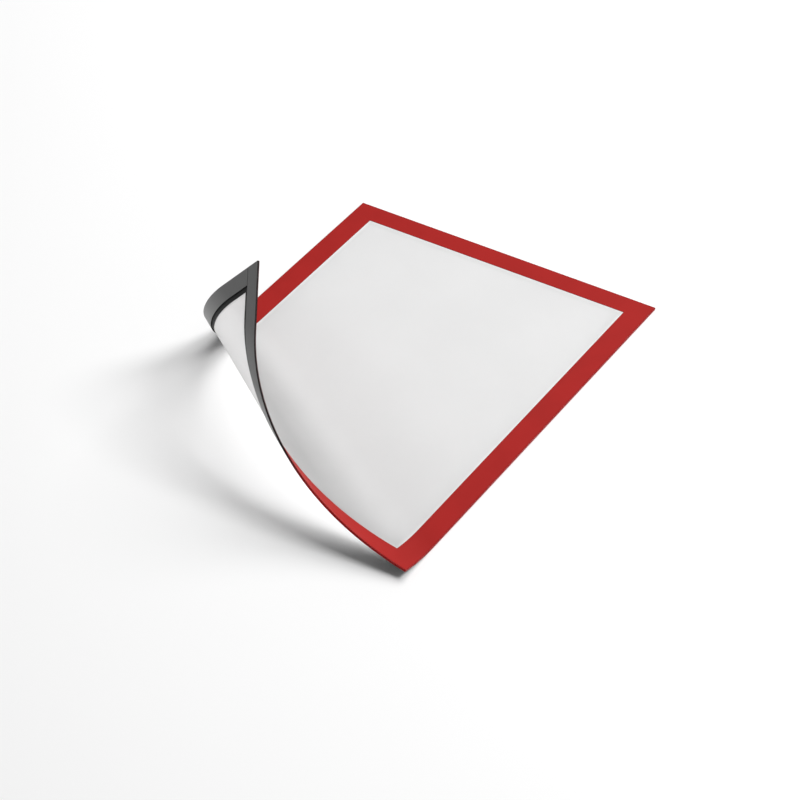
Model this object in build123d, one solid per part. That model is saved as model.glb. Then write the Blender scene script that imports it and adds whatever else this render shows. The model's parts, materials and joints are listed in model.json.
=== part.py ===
"""Magnetic A4 display frame lying face up, with its lower left corner peeled off the surface.

The frame is a thin stack: magnetic strips at the back, a dark backing under the border, a frosted
window film and a red border foil at the front.  Its back lies on z = 0, +Z points out of the front,
+Y is the top of a portrait sheet, and the origin is the centre of the flat frame.

The peeled corner curls as a cone.  Every bend line on the flat frame runs through one point, and the
curl between the first and the last of them is cut into narrow curved bands that hinge on the front
face, so the corner can be laid flat again.
"""
from build123d import *
from math import atan, atan2, cos, degrees, hypot, radians, sin
import os

# The sheet on show and how the frame holds it, in millimetres
sheet_width = 210.0  # A4, upright
sheet_height = 297.0
sheet_clearance = 0.5  # room between the sheet's edge and each magnetic strip
sheet_cover = 3.0  # the border laps this far over each edge of the sheet

# Layers from back to front
strip_width = 12.5
strip_thickness = 0.8
backing_thickness = 0.1
film_thickness = 0.25
foil_thickness = 0.1
bond_line = 0.05  # adhesive between neighbouring layers
butt_gap = 0.2  # between the ends of the long strips and the short strips

# The curl, given by where the bend lines cross the edges of the flat frame
first_bend_left = 177.5  # first bend line, up the left edge from the free corner
first_bend_right = 33.0  # the same line, up the right edge from the bottom right corner
last_bend_left = 49.0  # last bend line, up the left edge from the free corner
bend_reach = 324.0  # the bend lines meet this far to the left of the frame
peel_angle = 117.5  # turn of the free corner, in degrees
band_count = 12
band_gap = 0.05  # cut between neighbouring bands

# Outline of the flat frame
recess_width = sheet_width + 2 * sheet_clearance
recess_height = sheet_height + 2 * sheet_clearance
frame_width = recess_width + 2 * strip_width
frame_height = recess_height + 2 * strip_width
border_width = strip_width + sheet_clearance + sheet_cover
window_width = frame_width - 2 * border_width
window_height = frame_height - 2 * border_width
left_edge = -frame_width / 2
bottom_edge = -frame_height / 2

# Levels of the layers
strip_front = strip_thickness
backing_back = strip_front + bond_line
backing_front = backing_back + backing_thickness
film_back = backing_front + bond_line
film_front = film_back + film_thickness
foil_back = film_front + bond_line
frame_depth = foil_back + foil_thickness

# Bend lines on the flat frame: directions are angles from +X about the point where they meet
first_slope = (first_bend_right - first_bend_left) / frame_width
apex = Vector(left_edge - bend_reach, bottom_edge + first_bend_left - first_slope * bend_reach, frame_depth)
last_slope = (bottom_edge + last_bend_left - apex.Y) / bend_reach
first_angle = degrees(atan(first_slope))
last_angle = degrees(atan(last_slope))
band_angle = (first_angle - last_angle) / band_count

# The cone that the curled stretch lies on: its sheet angle and its turn set how slender it is
cone_half_angle = atan2(first_angle - last_angle, peel_angle)
cone_turn = peel_angle / cos(cone_half_angle)
band_turn = cone_turn / band_count
upright = Axis(apex, (0, 0, 1))
first_bend = Vector(1, 0, 0).rotate(Axis.Z, first_angle)
# Pointing back from the bend towards the meeting point, so that a positive turn raises the corner
cone_axis = Axis(apex, first_bend * -cos(cone_half_angle) - Vector(0, 0, sin(cone_half_angle)))
sheet_reach = hypot(bend_reach + frame_width, apex.Y - bottom_edge) + border_width
wide_angle = 60.0  # opening that takes in all of the frame on the flat side of a bend line


def ring_plan():
    """The border: the frame's outline less its window."""
    return Rectangle(frame_width, frame_height) - Rectangle(window_width, window_height)


def strip_plans():
    """Short strips run the full width, and the long ones butt against them."""
    side_x = (frame_width - strip_width) / 2
    end_y = (frame_height - strip_width) / 2
    short = Rectangle(frame_width, strip_width)
    long = Rectangle(strip_width, recess_height - 2 * butt_gap)
    return {
        "top": Pos(0, end_y) * short,
        "bottom": Pos(0, -end_y) * short,
        "left": Pos(-side_x, 0) * long,
        "right": Pos(side_x, 0) * long,
    }


def sector(upper_angle, lower_angle):
    """The part of the plan between two bend lines, held back from each by half the gap."""
    half_opening = radians(upper_angle - lower_angle) / 2
    middle = Vector(1, 0, 0).rotate(Axis.Z, (upper_angle + lower_angle) / 2)
    tip = Vector(apex.X, apex.Y, 0) + middle * (band_gap / 2 / sin(half_opening))
    far = Vector(2 * sheet_reach, 0, 0)
    corners = [tip, tip + far.rotate(Axis.Z, upper_angle), tip + far.rotate(Axis.Z, lower_angle)]
    return Polygon(*[(point.X, point.Y) for point in corners], align=None)


def slab(plan, low, high):
    """A flat layer on the plan between two levels."""
    return extrude(Pos(0, 0, low) * plan, amount=high - low)


def cone_layer(low, high):
    """The same layer rolled on the cone, running on past the bend lines at both ends."""
    profile_plane = Plane(
        origin=(apex.X, apex.Y, 0), x_dir=first_bend, z_dir=first_bend.cross(Vector(0, 0, 1))
    )
    profile = Pos((bend_reach + sheet_reach) / 2, (low + high) / 2) * Rectangle(
        sheet_reach - bend_reach, high - low
    )
    rolled = revolve(profile_plane * profile, axis=cone_axis, revolution_arc=cone_turn + 2 * band_turn)
    return rolled.rotate(cone_axis, -band_turn)


def curl(shape, bend_angle, turn):
    """Carry a flat shape round the cone: its bend line at bend_angle goes to the given turn."""
    return shape.rotate(upright, first_angle - bend_angle).rotate(cone_axis, turn)


def band(plan, layer, low, high, index):
    """One curved band of a layer, with ends square to its chord so that it can be laid flat."""
    upper_angle = first_angle - index * band_angle
    middle_angle = upper_angle - band_angle / 2
    piece_plan = plan & sector(upper_angle, upper_angle - band_angle)
    punch = slab(piece_plan, low - frame_depth, high + frame_depth)
    return layer & curl(punch, middle_angle, (index + 0.5) * band_turn)


def save(node, shape):
    """Write one node, as one solid or as a group of separate ones."""
    solids = shape.solids()
    piece = solids[0] if len(solids) == 1 else Compound(children=list(solids))
    piece.label = node
    export_step(piece, f"parts/{node}.step")


strips = strip_plans()
all_strips = Sketch() + list(strips.values())
layers = {
    "window_film": (Sketch() + Rectangle(frame_width, frame_height), film_back, film_front),
    "border_foil": (ring_plan(), foil_back, frame_depth),
    "border_backing": (ring_plan(), backing_back, backing_front),
    "magnet_strips": (all_strips, 0.0, strip_front),
}
flat_sector = sector(first_angle + wide_angle, first_angle)
corner_sector = sector(last_angle, last_angle - wide_angle)

os.makedirs("parts", exist_ok=True)
for side in ("top", "left", "right"):
    save(f"magnet_strip_{side}", slab(strips[side] & flat_sector, 0.0, strip_front))
for name, (plan, low, high) in layers.items():
    if name != "magnet_strips":
        save(name, slab(plan & flat_sector, low, high))
    layer = cone_layer(low, high)
    for index in range(band_count):
        save(f"{name}_band_{index + 1:02d}", band(plan, layer, low, high, index))
    save(f"{name}_corner", curl(slab(plan & corner_sector, low, high), last_angle, cone_turn))
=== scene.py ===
import json
import math
import bmesh
import bpy
import numpy as np
from mathutils import Matrix, Vector


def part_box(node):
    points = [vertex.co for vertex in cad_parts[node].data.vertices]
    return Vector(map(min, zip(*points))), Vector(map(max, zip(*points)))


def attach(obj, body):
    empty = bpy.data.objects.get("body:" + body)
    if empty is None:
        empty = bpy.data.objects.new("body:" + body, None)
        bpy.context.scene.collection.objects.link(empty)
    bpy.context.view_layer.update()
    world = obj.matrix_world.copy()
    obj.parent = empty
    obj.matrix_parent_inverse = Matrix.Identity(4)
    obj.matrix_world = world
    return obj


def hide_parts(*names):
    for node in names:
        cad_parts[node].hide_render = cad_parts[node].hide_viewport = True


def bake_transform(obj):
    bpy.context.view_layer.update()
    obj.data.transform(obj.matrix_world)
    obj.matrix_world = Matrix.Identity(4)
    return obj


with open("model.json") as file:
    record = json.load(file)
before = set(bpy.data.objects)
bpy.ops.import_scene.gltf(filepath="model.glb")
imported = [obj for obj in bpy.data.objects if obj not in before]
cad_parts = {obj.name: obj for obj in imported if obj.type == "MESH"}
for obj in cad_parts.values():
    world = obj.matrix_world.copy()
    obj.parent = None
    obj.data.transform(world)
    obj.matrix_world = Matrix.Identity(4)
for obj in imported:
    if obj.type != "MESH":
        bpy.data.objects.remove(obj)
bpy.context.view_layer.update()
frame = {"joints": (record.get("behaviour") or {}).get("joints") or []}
scene = bpy.context.scene

# Flat sizes, from the nodes that lie flat: the sheet is centred on the origin
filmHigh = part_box("window_film")[1]
halfWidth, halfHeight = filmHigh.x, filmHigh.y
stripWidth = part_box("magnet_strip_top")[1].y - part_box("magnet_strip_top")[0].y
sheetPlan = {
    "border": 0.016,    # width of the red border
    "buttGap": 0.0004,  # where a long strip meets a short one
}
innerX, innerY = halfWidth - sheetPlan["border"], halfHeight - sheetPlan["border"]
stripX, stripY = halfWidth - stripWidth, halfHeight - stripWidth
buttY = stripY - sheetPlan["buttGap"]
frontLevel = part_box("border_foil")[1].z

# The curl: all hinge lines run through one apex and lie on one cone, whose axis and turn they give
hingeSpots = np.array([hinge["pos_m"] for hinge in frame["joints"]])
rays = -np.array([hinge["axis"] for hinge in frame["joints"]])
rays /= np.linalg.norm(rays, axis=1, keepdims=True)
sideways = np.eye(3) - rays[:, :, None] * rays[:, None, :]  # leaves out what lies along each hinge line
apex = np.linalg.solve(sideways.sum(0), (sideways @ hingeSpots[:, :, None]).sum(0))[:, 0]
coneAxis = np.linalg.svd(rays - rays.mean(0))[2][-1]
coneAxis *= np.sign(coneAxis @ np.cross(rays[0], rays[1]))
spokes = rays - (rays @ coneAxis)[:, None] * coneAxis
coneSine = np.linalg.norm(spokes[0])  # sine of the cone's half angle
bandTurn = math.atan2(coneAxis @ np.cross(spokes[0], spokes[1]), spokes[0] @ spokes[1])
bandAngle = coneSine * bandTurn  # what one band takes up of the flat sheet, about the apex
bandCount = len(rays) - 1
firstAngle = math.atan2(rays[0][1], rays[0][0])
hingeAngles = firstAngle - bandAngle * np.arange(len(rays))
curlAngle = firstAngle - hingeAngles[-1]
print("curl: apex", np.round(apex, 4), "turn", round(math.degrees(bandTurn * bandCount), 2))


def roll(plan, depth):
    # A flat point has a distance and an angle about the apex. Up to the first bend line it stays put.
    # After it, the angle past that line becomes a turn about the cone's axis, until the last line is reached.
    offset = plan - apex[:2]
    distance = np.hypot(offset[..., 0], offset[..., 1])
    angle = np.arctan2(offset[..., 1], offset[..., 0])
    bent = np.clip(firstAngle - angle, 0, curlAngle)
    level = np.full_like(distance, -depth)
    start = np.stack([distance * np.cos(angle + bent), distance * np.sin(angle + bent), level], -1)
    turn = (bent / coneSine)[..., None]
    lift = np.cross(coneAxis, start) * np.sin(turn)
    along = coneAxis * (start @ coneAxis)[..., None] * (1 - np.cos(turn))
    return apex + start * np.cos(turn) + lift + along


def bendLine(angle, x=None, y=None):
    # The point where a bend line crosses an upright line x or a level line y of the flat sheet
    reach = (x - apex[0]) / math.cos(angle) if y is None else (y - apex[1]) / math.sin(angle)
    return apex[:2] + reach * np.array([math.cos(angle), math.sin(angle)])


def rails(cornersA, cornersB, steps, *rims):
    # Two polylines with the same number of corners, divided alike, so that a section can span them
    lines = []
    for corners in (cornersA, cornersB):
        runs = [np.linspace(a, b, count, endpoint=False) for a, b, count in zip(corners, corners[1:], steps)]
        lines.append(np.concatenate(runs + [np.array([corners[-1]], float)]))
    return lines[0], lines[1], rims


def plate(railA, railB, rims, layer):
    # A thin plate: a section of the layer's depth is carried along two rails. Across, a share of the way from
    # rail A to rail B gives the plan point, and roll() puts it on the sheet, at the front and the back depth.
    # Rims say what the plate has at rail A, at rail B and at its first and last rows: an outer or an inner
    # edge, or a seam.
    share = np.linspace(0, 1, layer["across"] + 1)
    plan = railA[:, None] + share[:, None] * (railB - railA)[:, None]
    points = np.concatenate([roll(plan, layer[face]).reshape(-1, 3) for face in ("front", "back")])
    flat = np.concatenate([plan.reshape(-1, 2)] * 2)
    rows, columns = plan.shape[:2]
    front = np.arange(rows * columns).reshape(rows, columns)  # numbers of the points on the front
    back = front + rows * columns
    sides = [
        (front[:-1, :-1], front[:-1, 1:], front[1:, 1:], front[1:, :-1]),
        (back[1:, :-1], back[1:, 1:], back[:-1, 1:], back[:-1, :-1]),
        (front[:-1, 0], front[1:, 0], back[1:, 0], back[:-1, 0]),
        (front[1:, -1], front[:-1, -1], back[:-1, -1], back[1:, -1]),
        (front[0, 1:], front[0, :-1], back[0, :-1], back[0, 1:]),
        (front[-1, :-1], front[-1, 1:], back[-1, 1:], back[-1, :-1]),
    ]
    quads = [np.stack([corner.ravel() for corner in side], -1) for side in sides]
    faces = np.concatenate(quads)
    finishes = [layer["finishOf"][side] for side in ("front", "back") + rims]
    finish = np.repeat(finishes, [len(quad) for quad in quads])
    # The enclosed volume is negative where the faces point inwards, and they are then turned round
    first, second, third = (points[faces[:, k]] - points[faces[:, 0]] for k in (1, 2, 3))
    volume = (points[faces[:, 0]] * (np.cross(first, second) + np.cross(second, third))).sum()
    return points, faces if volume > 0 else faces[:, ::-1], finish, flat


meshLook = {"merge": 1e-7, "sharp": 30}  # metres between doubles, and degrees at a hard edge


def piece(name, plates, layer):
    # One object from one or more plates, with the flat sheet's coordinates, in metres, as its UV map
    starts = np.cumsum([0] + [len(part[0]) for part in plates[:-1]])
    points = np.concatenate([part[0] for part in plates])
    faces = np.concatenate([part[1] + start for part, start in zip(plates, starts)])
    finish = np.concatenate([part[2] for part in plates])
    flat = np.concatenate([part[3] for part in plates])
    mesh = bpy.data.meshes.new(name)
    mesh.from_pydata(points, [], faces)
    mesh.polygons.foreach_set("material_index", finish.astype(np.int32))
    mesh.uv_layers.new(name="plan").data.foreach_set("uv", flat[faces.ravel()].astype(np.float32).ravel())
    work = bmesh.new()
    work.from_mesh(mesh)
    bmesh.ops.remove_doubles(work, verts=work.verts, dist=meshLook["merge"])
    work.to_mesh(mesh)
    work.free()
    mesh.shade_smooth()
    mesh.set_sharp_from_angle(angle=math.radians(meshLook["sharp"]))
    for material in layer["finish"]:
        mesh.materials.append(material)
    thing = bpy.data.objects.new(name, mesh)
    scene.collection.objects.link(thing)
    return thing


cloudLook = {"detail": 3.0, "span": (0.3, 0.7)}  # the noise values that the patches fade between


class Wire:
    # A socket of a node tree. Arithmetic on it adds Math nodes, and add() makes any other node.
    def __init__(self, tree, socket=None):
        self.tree = tree
        self.socket = socket

    def add(self, kind, settings=None, sockets=None, out=0):
        node = self.tree.nodes.new("ShaderNode" + kind)
        for name, value in (settings or {}).items():
            setattr(node, name, value)
        for key, value in (sockets or {}).items():
            if isinstance(value, Wire):
                self.tree.links.new(value.socket, node.inputs[key])
            else:
                node.inputs[key].default_value = value
        return Wire(self.tree, node.outputs[out] if node.outputs else None)

    def maths(self, operation, first, second=0.0):
        return self.add("Math", {"operation": operation}, {0: first, 1: second})

    def __add__(self, other):
        return self.maths("ADD", self, other)

    def __sub__(self, other):
        return self.maths("SUBTRACT", self, other)

    def __rsub__(self, other):
        return self.maths("SUBTRACT", other, self)

    def __mul__(self, other):
        return self.maths("MULTIPLY", self, other)

    def __abs__(self):
        return self.maths("ABSOLUTE", self)

    __radd__ = __add__
    __rmul__ = __mul__

    def least(self, other):
        return self.maths("MINIMUM", self, other)

    def most(self, other):
        return self.maths("MAXIMUM", self, other)

    def axes(self):
        split = self.add("SeparateXYZ", {}, {0: self}).socket.node
        return Wire(self.tree, split.outputs[0]), Wire(self.tree, split.outputs[1])

    def along(self, direction):
        # How far this vector reaches in a direction
        return self.add("VectorMath", {"operation": "DOT_PRODUCT"}, {0: self, 1: direction}, "Value")

    def ease(self, low, high):
        # Rises smoothly from 0 at low to 1 at high
        limits = {"Value": self, "From Min": low, "From Max": high}
        return self.add("MapRange", {"interpolation_type": "SMOOTHSTEP"}, limits)

    def noise(self, size, detail):
        # Even noise whose grains are about this size, in metres
        sockets = {"Vector": self, "Scale": 1 / size, "Detail": detail}
        return self.add("TexNoise", {"noise_dimensions": "2D"}, sockets)

    def cloud(self, size):
        # Soft patches of about this size, from 0 to 1
        return self.noise(size, cloudLook["detail"]).ease(*cloudLook["span"])

    def tint(self, first, second):
        # A colour between two, by this value: each is three numbers or another colour's socket
        ends = [end if isinstance(end, Wire) else (*end, 1) for end in (first, second)]
        return self.add("Mix", {"data_type": "RGBA"}, {0: self, 6: ends[0], 7: ends[1]}, 2)


def newFinish(name):
    # A material and the start of its nodes
    material = bpy.data.materials.new(name)
    material.use_nodes = True
    material.node_tree.nodes.clear()
    return material, Wire(material.node_tree)


def flatPlan(start):
    # The flat sheet's coordinates, from the piece's UV map
    return start.add("UVMap", {"uv_map": "plan"})


def output(shader):
    shader.add("OutputMaterial", {}, {"Surface": shader})


def grey(value):
    return value, value, value


def grained(grain, look, colour):
    # A surface of this colour, whose fine grain gives its relief and adds to its roughness
    height = {"Height": grain, "Strength": look["bump"], "Distance": look["bumpDepth"]}
    sockets = {"Base Color": colour, "Roughness": look["roughness"] + look["uneven"] * grain,
               "Normal": grain.add("Bump", {}, height)}
    return grain.add("BsdfPrincipled", {}, sockets | look["shader"])


foilLook = {
    "red": (0.352, 0.0174, 0.0155), "deep": (0.328, 0.0164, 0.0145), "cloud": 0.03,
    "edge": (0.22, 0.010, 0.010), "edgeWidth": 0.0006,
    "grain": 0.0005, "detail": 1.0, "roughness": 0.45, "uneven": 0.1, "bump": 0.15, "bumpDepth": 0.00003,
    "shader": {"IOR": 1.25, "Specular IOR Level": 0.12},
}


def redFoil():
    # Red in two soft shades, darker along both of the border's edges
    material, start = newFinish("red_satin_foil")
    plan = flatPlan(start)
    x, y = (abs(axis) for axis in plan.axes())
    outer = (halfWidth - x).least(halfHeight - y)
    inner = (x - innerX).most(y - innerY)
    inside = outer.least(inner).ease(0.0, foilLook["edgeWidth"])
    red = plan.cloud(foilLook["cloud"]).tint(foilLook["deep"], foilLook["red"])
    grain = plan.noise(foilLook["grain"], foilLook["detail"])
    output(grained(grain, foilLook, inside.tint(foilLook["edge"], red)))
    return material


filmLook = {
    "front": {"white": 0.634, "glow": 0.745, "slantFrom": 0.297, "slantTo": 0.677, "slantDense": 0.633,
              "sheen": 0.4, "paintedBendShade": 0.158, "paintedRimLightOn": 1.0, "raisedOnly": 1.0, "clearInside": 1.0},
    # the back's white and glow are set higher than the front's: painted light on the curled back of the film
    "back": {"white": 0.80, "glow": 0.92, "slantFrom": 0.62, "slantTo": 1.0, "slantDense": 0.58,
             "sheen": 0.0, "paintedBendShade": 0.0, "paintedRimLightOn": 0.0, "raisedOnly": 0.0, "clearInside": 0.0},
    # the grey of film seen at a slant, partly denser film and partly painted shade
    "denseAndShaded": 0.29, "cloudy": 0.03, "cloud": 0.05,
    "through": 0.75, "lampThrough": 0.81, "clear": 0.99,
    # painted light: a whiter, less clear rim of the window film along the border
    "paintedRimLight": 0.93, "paintedRimLightWidth": 0.0035, "paintedRimLightBlocks": 0.38,
    # where the painted light rim ends and the painted shade near the bend starts
    "paintedRimLightEnds": (0.01, 0.06), "paintedBendShadeSpan": (-0.074, 0.015),  # metres past the first bend line
    "sheenSpan": (0.70, 0.95), "fullTilt": 0.45,           # how slanted it is seen, and the sine of the tilt
    "grain": 0.0004, "detail": 2.0, "roughness": 0.5, "uneven": 0.1, "bump": 0.1, "bumpDepth": 0.00002,
    "shader": {"Specular IOR Level": 0.3},
}


def frostedFilm(side):
    # White frost over a glow from behind, which gives way to grey where the film is seen at a slant: partly
    # denser film, partly painted shade
    material, start = newFinish("film_" + side)
    plan = flatPlan(start)
    look = filmLook[side]
    downhill = (math.sin(firstAngle), -math.cos(firstAngle), 0)
    pastBend = plan.along(downhill) - float(apex @ downhill)
    # Painted light: along the border, where the film lies flat, it is painted whiter and made less clear,
    # against the shade that falls there
    x, y = (abs(axis) for axis in plan.axes())
    fromBorder = (innerX - x).least(innerY - y)
    paintedRimLight = (1 - pastBend.ease(*filmLook["paintedRimLightEnds"])) * (1 - fromBorder.ease(0.0, filmLook["paintedRimLightWidth"]))
    paintedRimLight = look["paintedRimLightOn"] * paintedRimLight
    cloud = plan.cloud(filmLook["cloud"])
    frost = plan.noise(filmLook["grain"], filmLook["detail"])
    white = cloud.tint(grey(look["white"] - filmLook["cloudy"]), grey(look["white"]))
    face = grained(frost, filmLook, paintedRimLight.tint(white, grey(filmLook["paintedRimLight"])))
    glow = start.add("BsdfTranslucent", {}, {"Color": (*grey(look["glow"]), 1)})
    through = filmLook["through"] - filmLook["paintedRimLightBlocks"] * paintedRimLight
    thin = start.add("MixShader", {}, {0: through, 1: face, 2: glow})
    # Seen at a slant, more of the film is in the way and less of what is behind it comes through, up to a
    # painted sheen at the most grazing views. At the front the grey is partly painted shade: it shows only
    # where the film is tilted off the white surface that it lies on, and a faint painted shade starts a
    # little above the bend.
    darker = cloud.tint(grey(filmLook["denseAndShaded"] - filmLook["cloudy"]), grey(filmLook["denseAndShaded"]))
    denseAndShaded = grained(frost, filmLook, darker)
    facing = start.add("LayerWeight", {}, {"Blend": 0.5}, "Facing")  # 0 straight on, 1 edge on
    slant = start.add("MapRange", {}, {"Value": facing, "From Min": look["slantFrom"],
                                       "From Max": look["slantTo"], "To Max": look["slantDense"]})
    level = start.add("NewGeometry", out="Normal").along((0, 0, 1))
    tilt = start.maths("SQRT", 1 - level * level)
    raised = 1 - look["raisedOnly"] * (1 - tilt.ease(0.0, filmLook["fullTilt"]))
    # Painted shade: the front greys a little from shortly before the first bend line on, where the curl
    # shades it
    paintedBendShade = look["paintedBendShade"] * pastBend.ease(*filmLook["paintedBendShadeSpan"])
    densityAndShade = paintedBendShade + (1 - paintedBendShade) * (raised * (slant - look["sheen"] * facing.ease(*filmLook["sheenSpan"])))
    body = start.add("MixShader", {}, {0: densityAndShade, 1: thin, 2: denseAndShaded})
    # Part of the lamps' light goes straight through, and from inside the front face lets all other light out,
    # because the film scatters light only once
    lamp = start.add("LightPath", out="Is Shadow Ray")
    inside = look["clearInside"] * start.add("NewGeometry", out="Backfacing")
    clear = start.add("BsdfTransparent", {}, {"Color": (*grey(filmLook["clear"]), 1)})
    passing = (lamp * filmLook["lampThrough"]).most(inside - lamp)
    output(start.add("MixShader", {}, {0: passing, 1: body, 2: clear}))
    return material


edgeLook = {
    # the near-black is painted shade at the curled corner, the red is the edge's own colour
    "paintedShadeDark": (0.012, 0.007, 0.007), "red": (0.38, 0.012, 0.012),
    "redSpan": (0.125, 0.165),  # metres from the free corner
    "grain": 0.0004, "detail": 3.0, "roughness": 0.6, "uneven": 0.2, "bump": 0.3, "bumpDepth": 0.00005,
    "shader": {"Specular IOR Level": 0.2},
}


def outerEdge():
    # The cut outer edge is near-black at the free corner, as painted shade where the curled edge lies in
    # shade, and takes on the border's red further along
    material, start = newFinish("cut_outer_edge")
    plan = flatPlan(start)
    freeCorner = (-halfWidth, -halfHeight, 0)
    reach = start.add("VectorMath", {"operation": "DISTANCE"}, {0: plan, 1: freeCorner}, "Value")
    grain = plan.noise(edgeLook["grain"], edgeLook["detail"])
    output(grained(grain, edgeLook, reach.ease(*edgeLook["redSpan"]).tint(edgeLook["paintedShadeDark"], edgeLook["red"])))
    return material


backingLook = {
    "dark": 0.010, "light": 0.020,
    "grain": 0.0005, "detail": 2.0, "roughness": 0.55, "uneven": 0.15, "bump": 0.2, "bumpDepth": 0.00003,
    "shader": {"Specular IOR Level": 0.2},
}
rubberLook = {
    "dark": 0.026, "light": 0.056,
    "grain": 0.0006, "detail": 3.0, "roughness": 0.28, "uneven": 0.12, "bump": 0.2, "bumpDepth": 0.00004,
    "shader": {"Specular IOR Level": 0.6},
}
rubberCutLook = {
    "dark": 0.006, "light": 0.014,
    "grain": 0.0004, "detail": 3.0, "roughness": 0.7, "uneven": 0.2, "bump": 0.4, "bumpDepth": 0.00006,
    "shader": {"Specular IOR Level": 0.2},
}


def darkFinish(name, look):
    # Two greys, mixed by the grain
    material, start = newFinish(name)
    plan = flatPlan(start)
    grain = plan.noise(look["grain"], look["detail"])
    output(grained(grain, look, grain.tint(grey(look["dark"]), grey(look["light"]))))
    return material


def layerOf(node, slot, across, **finishes):
    # A layer's depths below the front face, its columns of faces, and the finish that each side of it has
    low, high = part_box(node)
    finish = list(dict.fromkeys(finishes.values()))
    finishOf = {side: finish.index(material) for side, material in finishes.items()}
    return {"front": frontLevel - high.z, "back": frontLevel - low.z, "slot": slot, "across": across,
            "finish": finish, "finishOf": finishOf}


foil = redFoil()
backing = darkFinish("dark_backing", backingLook)
filmFront = frostedFilm("front")
filmBack = frostedFilm("back")
rubber = darkFinish("magnet_rubber_face", rubberLook)
rubberCut = darkFinish("magnet_inner_edge", rubberCutLook)
edge = outerEdge()
layers = {
    "window_film": layerOf("window_film", "film", across=12, front=filmFront, back=filmBack,
                           outer=edge, inner=edge, seam=filmBack),
    "border_foil": layerOf("border_foil", "foil", across=2, front=foil, back=foil,
                           outer=foil, inner=foil, seam=foil),
    "border_backing": layerOf("border_backing", "backing", across=2, front=backing, back=backing,
                              outer=edge, inner=backing, seam=backing),
    "magnet_strips": layerOf("magnet_strip_top", "magnet", across=2, front=rubber, back=rubber,
                             outer=edge, inner=rubberCut, seam=rubber),
}
print("finishes made for", len(layers), "layers")

flatRows = {"film": [16], "ring": [12, 16, 20], "strip": [16]}  # rows of faces along each run of the rails


def flatPart():
    # Everything above the first bend line
    left, right, top = -halfWidth, halfWidth, halfHeight
    outerLeft, outerRight = bendLine(firstAngle, x=left), bendLine(firstAngle, x=right)
    innerLeft, innerRight = bendLine(firstAngle, x=-innerX), bendLine(firstAngle, x=innerX)
    film = rails([outerLeft, (left, top)], [outerRight, (right, top)], flatRows["film"],
                 "outer", "outer", "seam", "outer")
    ring = rails([outerLeft, (left, top), (right, top), outerRight],
                 [innerLeft, (-innerX, innerY), (innerX, innerY), innerRight], flatRows["ring"],
                 "outer", "inner", "seam", "seam")
    short = rails([(left, top), (right, top)], [(left, stripY), (right, stripY)], flatRows["strip"],
                  "outer", "inner", "outer", "outer")
    yield "window_film", "window_film", film
    yield "border_foil", "border_foil", ring
    yield "border_backing", "border_backing", ring
    yield "magnet_strips", "magnet_strip_top", short
    for side, outer, inner in (("left", left, -stripX), ("right", right, stripX)):
        long = rails([bendLine(firstAngle, x=outer), (outer, buttY)],
                     [bendLine(firstAngle, x=inner), (inner, buttY)], flatRows["strip"],
                     "outer", "inner", "seam", "inner")
        yield "magnet_strips", "magnet_strip_" + side, long


curlLook = {
    "rows": 20,               # rows of faces on one bend
    "middles": 3,             # pieces of film across the window
    "evenSpan": 1.44,         # reach of a bend to each side of its hinge line, in band widths
    "endSpan": (0.2, 1.2),    # the same for the first and the last bend, outwards and inwards
    "sameLength": 1e-9,       # metres
    "sameAngle": 1e-6,        # radians
}
planCorners = np.array([
    (halfWidth, -halfHeight), (innerX, -innerY), (halfWidth, -stripY), (halfWidth, -buttY), (stripX, -buttY)])
cornerAngles = np.arctan2(planCorners[:, 1] - apex[1], planCorners[:, 0] - apex[0])

# Lines of the flat sheet, each as an axis and its place on that axis
leftEdge, rightEdge, bottomEdge = (0, -halfWidth), (0, halfWidth), (1, -halfHeight)
windowLeft, windowFar = [(0, -innerX)], [(0, innerX), (1, -innerY)]

# A bend is made in stretches along its bend line: the left border, the far border and pieces of the window
stretches = {
    "left": ([leftEdge], windowLeft, (0.0, 1.0)),
    "far": (windowFar, [rightEdge, bottomEdge], (0.0, 1.0)),
}
middleEnds = np.linspace(0, 1, curlLook["middles"] + 1)
for k in range(curlLook["middles"]):
    stretches[f"middle_{k + 1}"] = (windowLeft, windowFar, (middleEnds[k], middleEnds[k + 1]))


def upTo(angles, *lines):
    # Distance from the apex, along each bend line, to the first of some lines of the flat sheet
    crossings = []
    for axis, place in lines:
        slope = np.cos(angles) if axis == 0 else np.sin(angles)
        crossings.append((place - apex[axis]) / slope)
    return np.min(crossings, axis=0)


def arm(angles, near, far, rims, share=(0.0, 1.0)):
    # The stretch of a layer between two edges of the plan, or a share of it, on bend lines at these angles
    start, end = upTo(angles, *near), upTo(angles, *far)
    kept = end - start > -curlLook["sameLength"]
    pointing = np.stack([np.cos(angles), np.sin(angles)], -1)
    railA, railB = (apex[:2] + ((start + part * (end - start))[:, None] * pointing)[kept] for part in share)
    return railA, railB, rims + ("seam", "seam")


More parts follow.
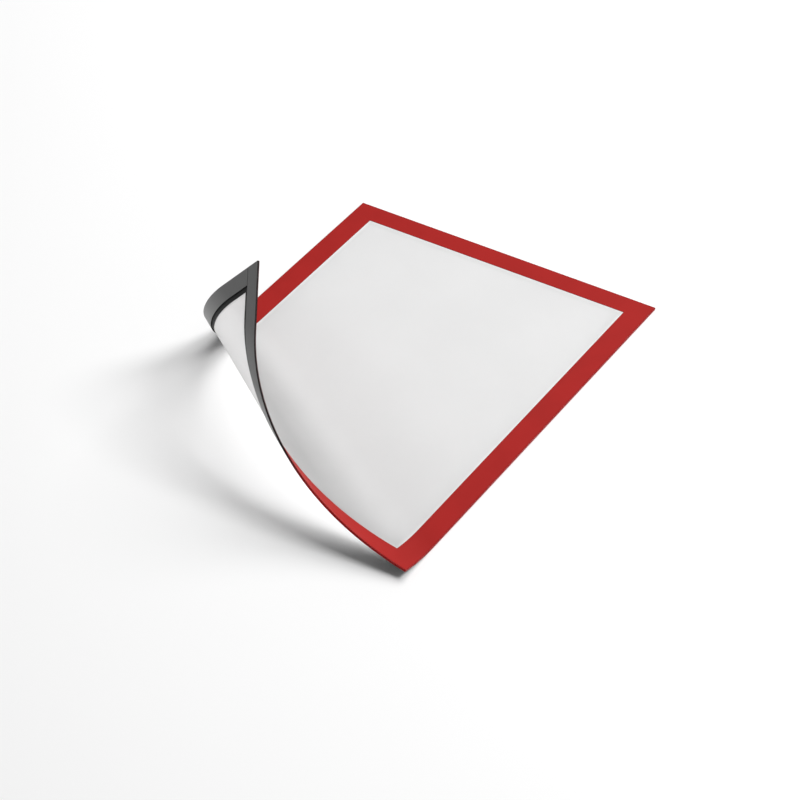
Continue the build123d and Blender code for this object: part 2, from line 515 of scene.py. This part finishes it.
def curlPart(low, high):
    # Plates between two bend lines: rows are evenly spaced, with one more at each corner of the plan
    same = curlLook["sameAngle"]
    inside = cornerAngles[(cornerAngles < high - same) & (cornerAngles > low + same)]
    angles = np.sort(np.concatenate([np.linspace(high, low, curlLook["rows"] + 1), inside]))[::-1]
    strips = {
        "left": [arm(angles, [leftEdge], [(0, -stripX)], ("outer", "inner"))],
        "far": [arm(angles, [(0, stripX)], [rightEdge, (1, -buttY)], ("inner", "outer")),
                arm(angles, [(1, -stripY)], [rightEdge, bottomEdge], ("inner", "outer"))],
    }
    filmRims = {"left": ("outer", "seam"), "far": ("seam", "outer")}
    ringRims = {"left": ("outer", "inner"), "far": ("inner", "outer")}
    for stretch, (near, far, share) in stretches.items():
        rims = filmRims.get(stretch, ("seam", "seam"))
        yield "window_film", stretch, [arm(angles, near, far, rims, share)]
        if stretch in strips:
            ring = [arm(angles, near, far, ringRims[stretch])]
            yield "border_foil", stretch, ring
            yield "border_backing", stretch, ring
            yield "magnet_strips", stretch, [strip for strip in strips[stretch] if len(strip[0]) > 1]


def bendSpan(index, stretch):
    # Two points across a hinge line, at the middle of the stretch, some band widths to each side of it: the
    # same number both ways on most bends, and fewer outwards than inwards on the first and the last.
    near, far, share = stretches[stretch]
    start, end = (upTo(hingeAngles[[index]], *lines)[0] for lines in (near, far))
    reach = start + np.mean(share) * (end - start)
    outwards, inwards = curlLook["endSpan"]
    even = curlLook["evenSpan"]
    before, after = {0: (outwards, inwards), bandCount: (inwards, outwards)}.get(index, (even, even))
    middle = apex + reach * rays[index]
    across = np.cross(coneAxis, rays[index]) / coneSine
    return middle - before * reach * bandAngle * across, middle + after * reach * bandAngle * across


cornerRows = {"film": [10], "ring": [8, 8], "strip": [8]}  # rows of faces along each run of the rails


def cornerPart():
    # Everything past the last bend line
    last = hingeAngles[-1]
    left, bottom = -halfWidth, -halfHeight
    start, end = bendLine(last, x=left), bendLine(last, y=bottom)
    film = rails([start, (left, bottom)], [end, (left, bottom)], cornerRows["film"],
                 "outer", "outer", "seam", "outer")
    innerStart, innerEnd = bendLine(last, x=-innerX), bendLine(last, y=-innerY)
    ring = rails([start, (left, bottom), end], [innerStart, (-innerX, -innerY), innerEnd], cornerRows["ring"],
                 "outer", "inner", "seam", "seam")
    long = rails([start, (left, -buttY)], [bendLine(last, x=-stripX), (-stripX, -buttY)], cornerRows["strip"],
                 "outer", "inner", "seam", "inner")
    short = rails([(left, -stripY), bendLine(last, y=-stripY)], [(left, bottom), end], cornerRows["strip"],
                  "inner", "outer", "outer", "seam")
    yield "window_film", [film]
    yield "border_foil", [ring]
    yield "border_backing", [ring]
    yield "magnet_strips", [long, short]


for layerName, node, part in flatPart():
    layer = layers[layerName]
    thing = piece(node + "_flat", [plate(*part, layer)], layer)
    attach(thing, "sheet")
    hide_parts(node)
print("flat part made")

for index, hinge in enumerate(frame["joints"]):
    high = min(firstAngle, hingeAngles[index] + bandAngle / 2)
    low = max(hingeAngles[-1], hingeAngles[index] - bandAngle / 2)
    for layerName, stretch, parts in curlPart(low, high):
        layer = layers[layerName]
        name = f"{layerName}_{stretch}_bend_{index + 1:02d}"
        thing = piece(name, [plate(*part, layer) for part in parts], layer)
        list(bendSpan(index, stretch))
        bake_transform(thing)
        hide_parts(f"{layerName}_band_{min(index + 1, bandCount):02d}")
print("curl made in", len(rays), "bends")

for layerName, parts in cornerPart():
    layer = layers[layerName]
    thing = piece(layerName + "_tip", [plate(*part, layer) for part in parts], layer)
    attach(thing, "corner")
    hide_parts(layerName + "_corner")
print("corner made")

# The floor runs well past the picture, and lies just below the sheet
floorLook = {"half": 4.0, "level": -0.0003, "white": 0.9, "pale": 0.89, "patch": 0.2, "detail": 2.0,
             "shader": {"Roughness": 0.9, "Specular IOR Level": 0.1}}


def paleFloor():
    # A square, in two whites that are close to each other
    half, level = floorLook["half"], floorLook["level"]
    corners = [(-half, -half, level), (half, -half, level), (half, half, level), (-half, half, level)]
    mesh = bpy.data.meshes.new("floor")
    mesh.from_pydata(corners, [], [(0, 1, 2, 3)])
    material, start = newFinish("pale_floor")
    patches = start.add("TexCoord", out="Object").noise(floorLook["patch"], floorLook["detail"])
    colour = patches.tint(grey(floorLook["pale"]), grey(floorLook["white"]))
    output(start.add("BsdfPrincipled", {}, {"Base Color": colour} | floorLook["shader"]))
    mesh.materials.append(material)
    floor = bpy.data.objects.new("floor", mesh)
    scene.collection.objects.link(floor)


paleFloor()

# Light: a soft box on the right, a wider one behind, and a white room, darker above and on the camera's side
lightLook = {
    "side": {"towards": (0.70, 0.32, 1.0), "distance": 2.8, "size": 1.2, "power": 48.0},
    "behind": {"towards": (0.04, 0.83, 1.0), "distance": 3.0, "size": 2.1, "power": 62.0},
    "wall": 0.45, "ceiling": 0.10, "brighter": (0.25, 0.60, 0.0),
}
for box in ("side", "behind"):
    look = lightLook[box]
    lamp = bpy.data.lights.new("soft_box_" + box, "AREA")
    lamp.shape = "DISK"
    lamp.size = look["size"]
    lamp.energy = look["power"]
    lampObject = bpy.data.objects.new("soft_box_" + box, lamp)
    towards = Vector(look["towards"]).normalized()
    lampObject.location = towards * look["distance"]
    lampObject.rotation_euler = towards.to_track_quat("Z", "Y").to_euler()
    scene.collection.objects.link(lampObject)

room = bpy.data.worlds.new("room")
room.use_nodes = True
room.node_tree.nodes.clear()
sky = Wire(room.node_tree)
outlook = sky.add("TexCoord", out="Generated")
upwards = {"Value": outlook.along((0, 0, 1)), "To Min": lightLook["wall"], "To Max": lightLook["ceiling"]}
strength = (1 + outlook.along(lightLook["brighter"])) * sky.add("MapRange", {}, upwards)
white = sky.add("Background", {}, {"Color": (1, 1, 1, 1), "Strength": strength})
sky.add("OutputWorld", {}, {"Surface": white})
scene.world = room
scene.view_settings.view_transform = "Standard"

# The camera stands where the photograph was taken from
cameraLook = {"place": (0.83045, -1.31348, 1.21556), "aim": (0.02313, -0.01501, 0.0), "roll": 0.132,
              "lens": 134.2, "sensor": 36.0, "clipEnd": 20.0}
camera = bpy.data.objects.new("camera", bpy.data.cameras.new("camera"))
camera.data.sensor_width = cameraLook["sensor"]
camera.data.lens = cameraLook["lens"]
camera.data.clip_end = cameraLook["clipEnd"]
place, aim = Vector(cameraLook["place"]), Vector(cameraLook["aim"])
pointing = (aim - place).to_track_quat("-Z", "Y").to_matrix()
pointing = pointing @ Matrix.Rotation(math.radians(cameraLook["roll"]), 3, "Z")
camera.matrix_world = Matrix.Translation(place) @ pointing.to_4x4()
scene.collection.objects.link(camera)
scene.camera = camera
print("floor, light and camera set")
